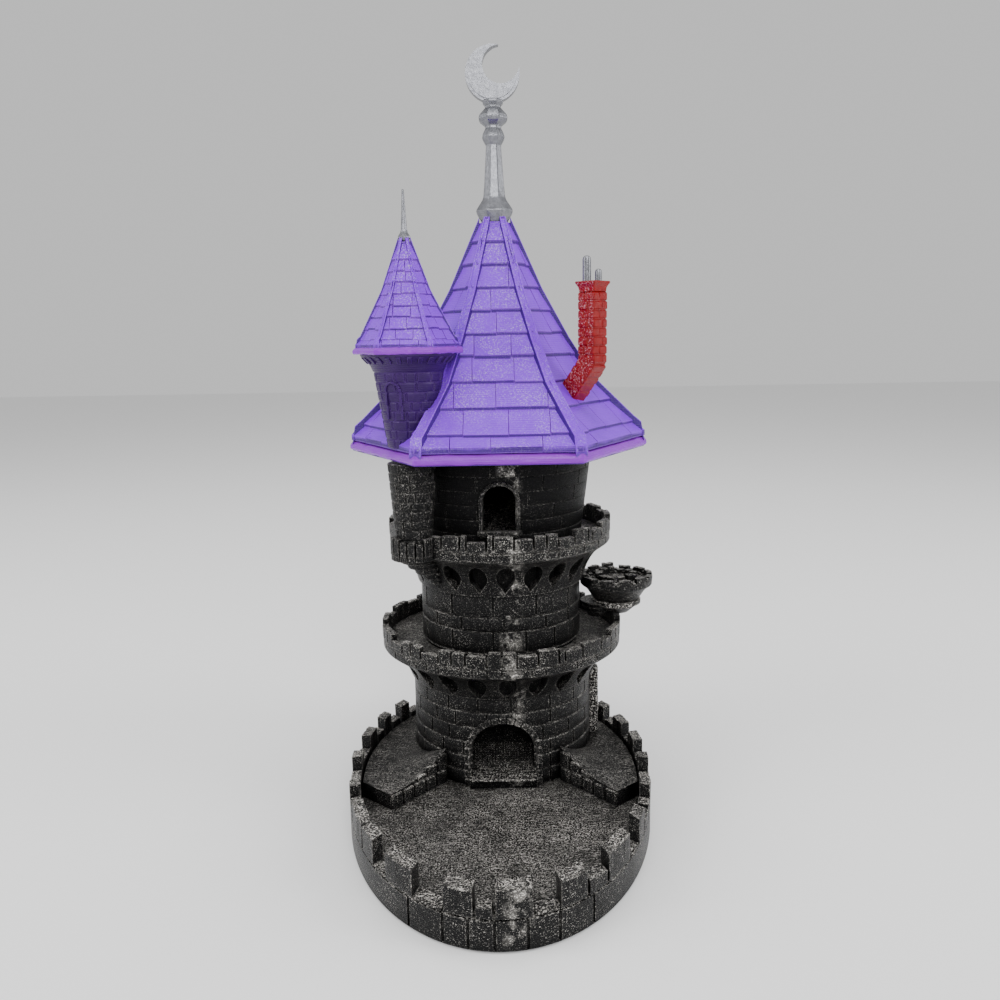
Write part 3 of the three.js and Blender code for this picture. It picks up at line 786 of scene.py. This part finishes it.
bartizan_ledge = add_piece("bartizan_ledge")
for side in (-1, 0, 1):
    around = FRONT + side * 0.36
    add_block(round_point(10.2, around, 75.0), (3.9, 2.4, 2.3), turn=around + math.pi / 2)
leave_edit(bartizan_ledge)
bartizan_ledge.location = (bartizan_x, 0, 0)
finish_piece(bartizan_ledge, "upper_section", worn_black, bevel=0.35)

bartizan_stub = add_piece("bartizan_stub")
for level, radius, at in ((69.4, 4.6, 41.5), (71.8, 6.4, 42.0), (74.1, 7.9, 42.4)):
    select_nothing()
    bpy.ops.mesh.primitive_cone_add(vertices=20, radius1=radius - 0.9, radius2=radius + 0.3, depth=2.3,
                                    location=(at, 0, level))
finish_piece(bartizan_stub, "upper_section", stone_black, bevel=0.3)

# Lantern room: the round room under the roof, flaring a little, with one arched window that has a
# thin frame and sill. It stands on the upper gallery and the roof's spigot drops into it.
lantern_foot = 106.4
lantern_top = 141.0
lantern_sides = 80
lantern_draw = random.Random(71)


def lantern_radius(z):
    return 34.5 + 4.3 * max(0.0, z - lantern_foot) / (lantern_top - lantern_foot)


lantern = add_piece("lantern_walls")
lantern_courses = [5.4, 5.7, 5.9, 5.6, 6.0, 6.0]
raise_wall(lantern_sides, 0.6, [
    *coursed(lantern_radius, lantern_foot, lantern_courses, 0.5, 0.22), (30.5, lantern_top),
    (30.5, lantern_foot),
])
cut_joints(lantern, lantern_sides, ring_angle(lantern_sides), lantern_foot, lantern_courses, 5, 9, 0.22,
           lantern_draw)
leave_edit(lantern)
cut_away(lantern, arch_cutter(6.85, 113, 125.2, 132, (0, -34, 0), 20))
finish_piece(lantern, "upper_section", lantern_black_in_painted_shade, ["lantern_room"], bevel=0.2)

window_frame = add_piece("window_frame")
arch_stones(lantern_radius, FRONT, 6.5, 125.2, 131.7, 1.5, 3.0, 13, -0.15, 0.9)
jamb_stones(lantern_radius, FRONT, 6.5, 113.6, 125.2, 1.5, 3.0, 2, -0.1, 0.9)
add_block((0, -36.1, 112.9), (17.4, 3.2, 1.7))
add_block((0, -35.6, 111.6), (15.6, 2.4, 1.0))
finish_piece(window_frame, "upper_section", stone_black, bevel=0.35)

# Round body under the side turret: small bricks laid round, standing against the lantern room on
# a slanted brick corbel that grows out of the middle tower's wall.
turret_x = -33.4
turret_y = -34.0
foot_sides = 28
foot_draw = random.Random(81)
foot_base = 104.0
foot_courses = [3.7] * 10
foot = add_piece("turret_foot_bricks")


def foot_radius(z):
    return 7.5 + 2.0 * max(0.0, z - 114.2) / (lantern_top - 114.2)


raise_wall(foot_sides, 0.5, [
    *coursed(foot_radius, foot_base, foot_courses, 0.6, 0.45), (TIP, lantern_top), (TIP, foot_base),
])
cut_joints(foot, foot_sides, ring_angle(foot_sides), foot_base, foot_courses, 2, 4, 0.45, foot_draw)
corbel_steps = 6
turret_place = Vector((turret_x, turret_y, 0))
away = turret_place.normalized()
for step in range(corbel_steps):
    share = (step + 0.5) / corbel_steps
    radius = 1.8 + 5.9 * share
    middle_out = (middle_radius - 1) + (turret_place.length - middle_radius + 1) * share
    at = away * middle_out - turret_place
    select_nothing()
    bpy.ops.mesh.primitive_cone_add(
        vertices=20, radius1=radius - 0.7, radius2=radius + 0.2, depth=16 / corbel_steps - 0.15,
        location=(at.x, at.y, 88 + 16 * share),
    )
outward = math.atan2(turret_y, turret_x)
for stone in range(11):
    around = outward + (stone - 5) * 0.36
    high = foot_draw.uniform(4.6, 7.2)
    add_block(round_point(8.0, around, 105.2 + high / 2), (2.7, 2.6, high), turn=around + math.pi / 2)
    add_block(round_point(7.8, around, 104.2), (3.0, 2.6, 2.2), turn=around + math.pi / 2)
leave_edit(foot)
foot.location = turret_place
finish_piece(foot, "upper_section", stone_black, ["turret_foot"], bevel=0.25)

# Main roof: a six-sided spire with concave slopes in purple printed plastic. Rows of tiles lie on
# its slopes, flat ribs cover its corners and a thick wavy rim runs round the eaves.
roof_outline = [
    (4.7 + 58.1 * share, 145.2 + 87.4 * rise)
    for share, rise in ((1, 0), (0.874, 0.069), (0.591, 0.254), (0.407, 0.445), (0.222, 0.667),
                        (0.076, 0.884), (0, 1))
]
roof_rows = [144.6, 151.7, 161.0, 170.7, 180.4, 189.0, 198.0, 207.0, 216.0, 225.0, 232.0]


def printed_purple(name, speckle, gloss, shade, edge_highlight, deep_colour, light_colour):
    """Purple plastic with print lines and a tone that varies at random. Pale specks on the faces turned to
    the front are a painted sheen of the front light, edges get a painted highlight and faces turned
    sideways or down painted shade.
    """
    paint = Paint(name)
    ramp, times, plus = paint.ramp, paint.times, paint.plus
    direction = paint.split(paint.normal())
    drift = plus(times(paint.speckle(70, 0.40, 0.60), 0.8), 0.2)
    frontal = times(ramp(direction["Y"], -0.35, -0.8), drift)
    sloping = times(plus(ramp(direction["Z"], 0.04, 0.24), 0.15), speckle)
    # Pale specks on the faces turned to the front and tilted up: a painted sheen of the front light on the
    # print.
    front_sheen_specks = times(paint.speckle(1700, 0.51, 0.62), frontal, sloping)
    plain = paint.mix(paint.noise(90, 4), (*deep_colour, 1), (*light_colour, 1))
    # Faces turned sideways or down are darkened by the given share: painted shade.
    shaded = paint.mix(ramp(direction["Z"], 0.24, 0.04, 0, shade), plain, (0.016, 0.003, 0.07, 1))
    # Edges are brightened by the given share: a painted highlight.
    lit = paint.mix(times(paint.edges(0.9, 0.99), edge_highlight), shaded, (0.30, 0.06, 0.78, 1))
    paint.surface({
        "Base Color": paint.mix(front_sheen_specks, lit, (0.44, 0.34, 0.60, 1)),
        "Roughness": gloss,
        "Specular IOR Level": 0.2,
    })
    paint.bump(plus(paint.noise(900, 3), times(paint.layers(0.8), 0.5), clamp=False), 0.4, 0.0003)
    return paint.material


tile_purple = printed_purple("tile_purple", 0.75, 0.36, 0.85, 0.35, (0.15, 0.011, 0.55),
                             (0.23, 0.022, 0.78))
# The turret's bricks are a dark purple, partly their own colour and partly painted shade under the side
# roof, with a faint painted edge highlight.
brick_purple_in_painted_shade = printed_purple("brick_purple_in_painted_shade", 0.12, 0.4, 0.0, 0.07, (0.014, 0.003, 0.042),
                              (0.036, 0.008, 0.090))
rim_purple = printed_purple("rim_purple", 0.12, 0.22, 0.0, 0.35, (0.19, 0.012, 0.42), (0.26, 0.022, 0.54))


def radius_at(outline, height):
    """The roof's corner radius at a height, along its outline of points going up."""
    for (r0, z0), (r1, z1) in zip(outline, outline[1:]):
        if z0 <= height <= z1:
            return r0 + (r1 - r0) * (height - z0) / (z1 - z0)
    return outline[0][0] if height < outline[0][1] else outline[-1][0]


def join_pieces(parts, name):
    """Makes one object of several and names it."""
    bpy.ops.object.select_all(action="DESELECT")
    for part in parts:
        part.select_set(True)
    bpy.context.view_layer.objects.active = parts[0]
    bpy.ops.object.join()
    parts[0].name = name
    return parts[0]


def turn_piece(piece, turn, place=(0, 0, 0)):
    select_only(piece)
    piece.rotation_euler = (0, 0, turn)
    piece.location = place
    bpy.ops.object.transform_apply(location=True, rotation=True, scale=True)


def tile_face(outline, rows, tile, thick, lift, draw):
    """The tiles of one slope, laid facing the front and cut off along its two corners."""
    face = add_piece("tiles")
    flat = math.cos(math.pi / 6)
    for row, (low, high) in enumerate(zip(rows, rows[1:])):
        front_low, front_high = radius_at(outline, low) * flat, radius_at(outline, high) * flat
        slope = math.atan2(high - low, front_low - front_high)
        length = math.hypot(high - low, front_low - front_high)
        across = 2 * radius_at(outline, low) * 0.5 + 1
        left = -across / 2 - draw.uniform(0, 0.6) * tile
        while left < across / 2:
            wide = tile * draw.uniform(0.85, 1.2)
            drop = draw.uniform(-0.5, 0.5)
            span = length + 1.0 + drop
            up = (length - drop * 0.5) / 2
            out = front_low - up * math.cos(slope) + (thick / 2 + lift) * math.sin(slope)
            height = low + up * math.sin(slope) + (thick / 2 + lift) * math.cos(slope)
            add_block((left + wide / 2, -out, height), (wide - 0.25, span, thick), tilt=slope - 0.085)
            drip = up - span / 2
            lip_out = front_low - drip * math.cos(slope) + (thick + lift) * math.sin(slope)
            lip_height = low + drip * math.sin(slope) + (thick + lift) * math.cos(slope)
            if row:
                add_block((left + wide / 2, 0.4 * thick - lip_out, lip_height - 0.5 * thick),
                          (wide - 0.25, thick, 1.8 * thick), tilt=0.16)
            left += wide
    bpy.ops.mesh.select_all(action="SELECT")
    bpy.ops.mesh.subdivide(number_cuts=1)
    bpy.ops.transform.vertex_random(offset=0.13, seed=draw.randrange(999))
    eave = outline[0][0] * 0.98 * flat
    for place, away in (
        ((0, 0, 0), (-math.cos(math.pi / 6), math.sin(math.pi / 6), 0)),
        ((0, 0, 0), (math.cos(math.pi / 6), math.sin(math.pi / 6), 0)), ((0, -eave, 0), (0, -1, 0)),
    ):
        bpy.ops.mesh.select_all(action="SELECT")
        bpy.ops.mesh.bisect(plane_co=place, plane_no=away, use_fill=True, clear_outer=True)
    leave_edit(face)
    return face


def make_rib(outline, wide_foot, wide_top, thick):
    """A flat rib along one corner, on the right-hand side, with a sunk middle."""
    rib = add_piece("rib")
    r0, z0 = outline[0]
    at = Vector((r0 * 0.97, 0, z0 - 0.1 * thick))
    bpy.ops.mesh.primitive_plane_add(size=1, location=at, rotation=(0, math.pi / 2, 0))
    bpy.ops.transform.resize(value=(1, wide_foot, thick * 0.2), center_override=at)
    r1, z1 = outline[1]
    outline = [outline[0], (r0 + (r1 - r0) * 0.6, z0 + (z1 - z0) * 0.6), *outline[1:]]
    count = len(outline)
    wide = wide_foot
    for step, (radius, height) in enumerate(outline[1:], 1):
        target = Vector((radius + thick * 0.25, 0, height + thick * 0.2))
        extrude(target - at)
        next_wide = wide_foot + (wide_top - wide_foot) * step / (count - 1)
        deepen = 5 if step == 1 else 1
        bpy.ops.transform.resize(value=(1, next_wide / wide, deepen), center_override=target)
        wide, at = next_wide, target
    bpy.ops.mesh.select_all(action="SELECT")
    bpy.ops.mesh.normals_make_consistent(inside=False)
    pick(rib, lambda face: face.normal.z > 0.2 and abs(face.normal.y) < 0.3)
    bpy.ops.mesh.inset(thickness=wide_top * 0.22, depth=0)
    sink(thick * 0.09)
    leave_edit(rib)
    return rib


def six_round(first, name, centre):
    """Six copies of one rib, one on each corner."""
    parts = [first]
    for corner in range(1, 6):
        select_only(first)
        bpy.ops.object.duplicate()
        copy = bpy.context.object
        turn_piece(copy, corner * math.pi / 3)
        parts.append(copy)
    joined = join_pieces(parts, name)
    turn_piece(joined, 0, (centre[0], centre[1], 0))
    return joined


def tile_roof(name, outline, rows, tile, thick, lift, centre, draw):
    faces = []
    for side in range(6):
        face = tile_face(outline, rows, tile, thick, lift, draw)
        turn_piece(face, side * math.pi / 3)
        faces.append(face)
    tiles = join_pieces(faces, name)
    turn_piece(tiles, 0, (centre[0], centre[1], 0))
    return tiles


def roof_rim(name, radius, bottom, top, centre, seed):
    """The wavy edge moulding round the eaves."""
    rim = add_piece(name)
    bpy.ops.mesh.select_mode(type="EDGE")
    bpy.ops.mesh.primitive_circle_add(vertices=6, radius=radius, location=(0, 0, bottom),
                                      rotation=(0, 0, math.pi / 6))
    bpy.ops.mesh.subdivide(number_cuts=15)
    width = radius
    thick = top - bottom
    for next_width, rise in ((radius + 0.12 * thick, 0.25 * thick), (radius + 0.1 * thick, 0.35 * thick),
                             (radius - 0.25 * thick, 0.4 * thick), (radius - 1.1 * thick, 0.1 * thick),
                             (radius - 1.8 * thick, 0), (radius - 1.8 * thick, -1.1 * thick)):
        extrude((0, 0, rise))
        widen(next_width / width)
        width = next_width
    select_nothing()
    bpy.ops.mesh.select_non_manifold()
    bpy.ops.mesh.bridge_edge_loops()
    pick(rim, lambda face: face.calc_center_median().xy.length > (radius - 3) * 0.866)
    bpy.ops.transform.vertex_random(offset=thick * 0.11, seed=seed)
    leave_edit(rim)
    turn_piece(rim, 0, (centre[0], centre[1], 0))
    return rim


deck = add_piece("roof_deck")
bpy.ops.mesh.select_mode(type="VERT")
raise_wall(6, 0, [
    (61.2, 141.8), (61.2, 144.2), *[(radius - 0.3, height) for radius, height in roof_outline[1:]],
    (TIP, 232.6), (TIP, 141.8),
], start=math.pi / 6)
select_nothing()
bpy.ops.mesh.primitive_cylinder_add(vertices=48, radius=30.2, depth=6.1, location=(0, 0, 139.05))
finish_piece(deck, "roof", tile_purple, ["main_roof"])
main_tiles = tile_roof("roof_tiles", roof_outline, roof_rows, 16.5, 1.6, 0.15, (0, 0), random.Random(91))
finish_piece(main_tiles, "roof", tile_purple, bevel=0.22)
main_ribs = six_round(make_rib(roof_outline[:-1] + [(5.0, 231.6)], 5.4, 2.8, 5.0), "roof_ribs", (0, 0))
finish_piece(main_ribs, "roof", tile_purple, bevel=0.3)
main_rim = roof_rim("roof_rim", 61.95, 142.1, 145.8, (0, 0), 4)
finish_piece(main_rim, "roof", rim_purple, bevel=0.5)

# Side turret: a round purple turret of small bricks that grows out of the roof's front left
# slope, with a framed lattice window and small blocks under its eaves.
turret_sides = 40
turret_draw = random.Random(101)
turret_foot_z = 146.95
turret_courses = [3.55] * 8


def turret_radius(z):
    return 8.3 + 4.9 * (z - 143) / 32


turret = add_piece("side_turret_bricks")
raise_wall(turret_sides, 0.55, [
    *coursed(turret_radius, turret_foot_z, turret_courses, 0.6, 0.45), (13.5, 175.9), (14.2, 177.6),
    (15.8, 179.8), (17.9, 181.5), (18.1, 182.4), (TIP, 182.4), (TIP, turret_foot_z),
])
cut_joints(turret, turret_sides, ring_angle(turret_sides), turret_foot_z, turret_courses, 2, 4, 0.45,
           turret_draw)
leave_edit(turret)
window_aim = math.radians(-115)
window_middle = round_point(11.8, window_aim, 0)
cut_away(turret, arch_cutter(2.6, 158.5, 168.6, 171.6, window_middle, 5.5, turn=window_aim - FRONT,
                             sides=20))
turret.location = turret_place
finish_piece(turret, "roof", brick_purple_in_painted_shade, ["side_turret"], bevel=0.25)

turret_window = add_piece("side_turret_window")
arch_stones(turret_radius, window_aim, 2.5, 168.6, 171.4, 1.0, 2.0, 9, -0.1, 0.6)
jamb_stones(turret_radius, window_aim, 2.5, 158.3, 168.6, 1.0, 2.0, 2, -0.1, 0.6)
for turn, offsets in ((0.62, (-3.4, 0, 3.4)), (-0.62, (-3.4, 0, 3.4))):
    for offset in offsets:
        out = turret_radius(165) - 1.7
        add_block(round_point(out, window_aim, 165 + offset), (6.6, 0.6, 0.55),
                  turn=window_aim + math.pi / 2, roll=turn)
for dentil in range(26):
    around = dentil * 2 * math.pi / 26
    add_block(round_point(16.0, around, 180.2), (1.7, 1.5, 3.4), turn=around + math.pi / 2,
              tilt=0.75)
leave_edit(turret_window)
turret_window.location = turret_place
finish_piece(turret_window, "roof", brick_purple_in_painted_shade, bevel=0.2)

side_outline = [(20.2, 184.3), (20.2 * 0.84, 187.1), (20.2 * 0.42, 203.6), (1.5, 222.8)]
side_rows = [184.0, 187.4, 191.4, 195.6, 199.8, 204.0, 208.2, 212.4, 216.6, 221.0]
repaint("side_turret_roof", tile_purple)
side_tiles = tile_roof("side_roof_tiles", side_outline, side_rows, 6.4, 0.85, 0.05, (turret_x, turret_y),
                       random.Random(111))
finish_piece(side_tiles, "roof", tile_purple, bevel=0.13)
side_ribs = six_round(make_rib(side_outline, 2.4, 1.2, 2.6), "side_roof_ribs", (turret_x, turret_y))
finish_piece(side_ribs, "roof", tile_purple, bevel=0.15)
side_rim = roof_rim("side_roof_rim", 20.7, 182.2, 184.6, (turret_x, turret_y), 6)
finish_piece(side_rim, "roof", rim_purple, bevel=0.3)

# Moon finial and side spike: turned balusters of eight facets in silver plastic, pegged into the
# two roofs' peaks. The finial ends in a crescent whose edges are stepped.
silver_paint = Paint("silver_finish")
silver_grain = silver_paint.noise(700, 4, 0.7)
silver_paint.surface({
    "Base Color": silver_paint.mix(silver_grain, (0.06, 0.062, 0.07, 1), (0.30, 0.305, 0.33, 1)),
    "Metallic": 0.75,
    "Roughness": 0.3,
})
silver_paint.bump(silver_grain, 0.35, 0.0003)
silver = silver_paint.material

finial = add_piece("moon_finial_post")
finial_foot = 232.9
raise_wall(8, 0, [
    (TIP, finial_foot - 8), (1.8, finial_foot - 8), (1.8, finial_foot), (5.4, finial_foot),
    (7.6, finial_foot + 3.6), (7.9, finial_foot + 4.4), (7.7, finial_foot + 5.2), (5.2, finial_foot + 8.8),
    (4.7, finial_foot + 10.2), (4.3, finial_foot + 14), (3.2, 262.6), (4.4, 264.6), (4.8, 265.6),
    (4.5, 266.8), (3.4, 269.0), (3.4, 269.9), (5.6, 271.6), (6.2, 272.6), (5.9, 273.8), (3.3, 276.6),
    (3.3, 277.4), (4.4, 278.6), (4.3, 279.4), (3.0, 280.0), (TIP, 280.0),
], start=math.pi / 8)
finish_piece(finial, "roof", silver, ["moon_finial"], bevel=0.25, smooth=20)

moon = add_piece("crescent_moon")
moon_centre = 300 - 10.7
bpy.ops.mesh.primitive_cylinder_add(vertices=72, radius=10.7, depth=3.6, location=(0, 0, moon_centre),
                                    rotation=(math.pi / 2, 0, 0))
for _ in range(2):
    pick(moon, lambda face: abs(face.normal.y) > 0.9)
    bpy.ops.mesh.inset(thickness=1.1, depth=0)
moon_axis = Vector((0, moon_centre))
pick(moon, lambda face: abs(face.normal.y) > 0.9 and (face.calc_center_median().xz - moon_axis).length < 9)
sink(-0.4)
leave_edit(moon)
moon_cutter = add_piece("moon_cutter")
bpy.ops.mesh.primitive_cylinder_add(vertices=64, radius=7.2, depth=8,
                                    location=(3.25, 0, moon_centre + 3.25),
                                    rotation=(math.pi / 2, 0, 0))
cut_away(moon, moon_cutter)
finish_piece(moon, "roof", silver, bevel=0.3)

spike = add_piece("side_spike_post")
spike_foot = 223.1
raise_wall(8, 0, [
    (TIP, spike_foot - 5), (0.9, spike_foot - 5), (0.9, spike_foot), (1.7, spike_foot),
    (2.4, spike_foot + 1.1), (2.4, spike_foot + 1.6), (1.5, spike_foot + 3.0), (1.2, spike_foot + 4),
    (0.45, 241.2), (TIP, 241.5),
], start=math.pi / 8)
bpy.ops.mesh.select_all(action="SELECT")
bpy.ops.transform.translate(value=turret_place)
finish_piece(spike, "roof", silver, ["side_spike"], bevel=0.12, smooth=20)

# Chimney: a crooked stack of bulging brick courses in red plastic, corner to the front, that
# leans out of the roof's right slope. A flared cap holds two silver flue pipes.
red_paint = Paint("red_brick")
red_grain = red_paint.noise(500, 4, 0.6)
# Faces turned to the left get pale specks: a painted sheen of the left-hand light on the rough print.
red_left = red_paint.ramp(red_paint.split(red_paint.normal())["X"], -0.3, -0.7)
red_left_sheen = red_paint.times(red_paint.speckle(1400, 0.53, 0.68), red_left, 0.7)
red_plain = red_paint.mix(red_grain, (0.12, 0.0004, 0.0012, 1), (0.28, 0.0008, 0.0025, 1))
red_paint.surface({
    "Base Color": red_paint.mix(red_left_sheen, red_plain, (0.70, 0.36, 0.40, 1)),
    "Roughness": 0.26,
    "Specular IOR Level": 0.25,
})
red_paint.bump(red_grain, 0.6, 0.0005)
red = red_paint.material

chimney_x = 36.4
chimney_y = -30.0
chimney_draw = random.Random(121)
chimney = add_piece("chimney_bricks")
brick_high = 3.32
quarter = math.pi / 4
for course in range(8):
    height = 177.3 + course * brick_high + brick_high / 2
    for side in range(4):
        around = side * math.pi / 2 + quarter
        long, short = 5.0, 3.3
        out = (8.2 - short) / 2 + chimney_draw.uniform(-0.12, 0.2)
        slide = (8.2 - long) / 2 * (1 if course % 2 else -1)
        place = (
            chimney_x + out * math.cos(around) - slide * math.sin(around),
            chimney_y + out * math.sin(around) + slide * math.cos(around), height,
        )
        add_block(place, (short, long - 0.2, brick_high - 0.2), turn=around)
leg_lean = math.radians(38)
toward = Vector((-chimney_x, -chimney_y, 0)).normalized()
lean = Matrix.Rotation(-leg_lean, 4, Vector((-toward.y, toward.x, 0)))
leg_turn = (lean @ Matrix.Rotation(quarter, 4, "Z")).to_euler()
bend = Vector((chimney_x, chimney_y, 177.4))
down_leg = toward * math.sin(leg_lean) - Vector((0, 0, math.cos(leg_lean)))
for start, length, size in ((-1.5, 22.0, 7.9), (1.0, 2.9, 8.2), (4.2, 2.9, 8.3), (7.4, 3.0, 8.1),
                            (10.7, 2.9, 8.3)):
    select_nothing()
    bpy.ops.mesh.primitive_cube_add(size=1, location=bend + down_leg * (start + length / 2),
                                    rotation=leg_turn,
                                    scale=(size, size, length))
add_block((chimney_x, chimney_y, 190), (7.4, 7.4, 27), turn=quarter)
finish_piece(chimney, "roof", red, ["chimney"], bevel=0.45)

chimney_cap = add_piece("chimney_cap")
bpy.ops.mesh.primitive_cube_add(size=1, location=(chimney_x, chimney_y, 204.2), rotation=(0, 0, quarter),
                                scale=(7.6, 7.6, 0.8))
pick(chimney_cap, lambda face: face.normal.z > 0.9)
for rise, share in ((0.9, 1.04), (0.9, 1.10), (0.7, 1.12), (0.7, 1.0)):
    extrude((0, 0, rise))
    widen(share, (chimney_x, chimney_y, 0))
bpy.ops.mesh.inset(thickness=1.4, depth=0)
extrude((0, 0, -1.6))
finish_piece(chimney_cap, "roof", red, bevel=0.4)

flues = add_piece("flue_pipes")
bpy.ops.mesh.select_mode(type="EDGE")
for at, radius, top in ((chimney_x - 2.2, 1.6, 217.3), (chimney_x + 2.2, 1.3, 212.4)):
    select_nothing()
    bpy.ops.mesh.primitive_circle_add(vertices=20, radius=radius, location=(at, chimney_y, 203.6))
    height = 203.6
    width = radius
    for next_width, next_height in ((radius, top - 2.6), (radius * 1.0, top - radius),
                                    (radius * 0.86, top - radius * 0.45),
                                    (radius * 0.5, top - radius * 0.12), (radius * 0.04, top)):
        extrude((0, 0, next_height - height))
        widen(next_width / width, (at, chimney_y, 0))
        width, height = next_width, next_height
select_nothing()
bpy.ops.mesh.select_non_manifold()
bpy.ops.mesh.edge_face_add()
finish_piece(flues, "roof", silver, ["tall_flue_pipe", "short_flue_pipe"])
